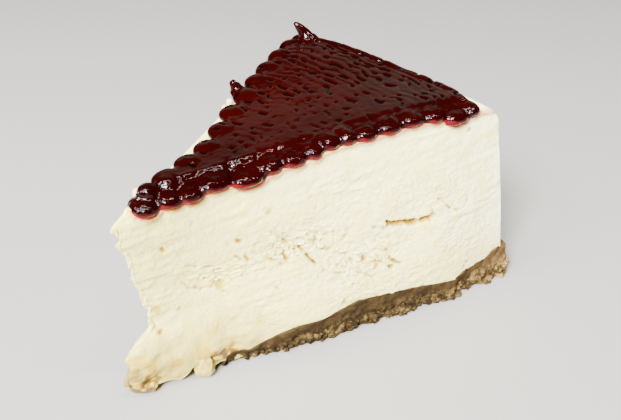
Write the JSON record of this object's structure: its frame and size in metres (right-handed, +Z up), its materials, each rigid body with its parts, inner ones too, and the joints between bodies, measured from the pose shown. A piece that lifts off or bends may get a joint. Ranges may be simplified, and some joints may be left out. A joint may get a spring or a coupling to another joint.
{
  "type": "baked cheesecake slice",
  "caption": "Wedge of baked cheesecake with a crumbly biscuit base, a tall white cheese filling and a glossy dark berry jelly piped to and fro on top.",
  "frame": {"origin": "on the flat underside, half way between the apex of the wedge and the foot of the rim", "axes": "+X from the tip of the wedge to its rim, +Z up, and the cut face with the smeared foot on the -Y side"},
  "size_m": [0.1299, 0.0919, 0.0768],
  "materials": {
    "crumb": "dry pressed biscuit crumb, ragged at the edges",
    "cheese": "soft moist cheese, torn and dragged by the knife",
    "jelly": "wet glossy berry jelly in piped ridges"
  },
  "bodies": {
    "root": {"biscuit_base": "crumb", "cheese_filling": "cheese", "berry_topping": "jelly"}
  },
  "joints": []
}
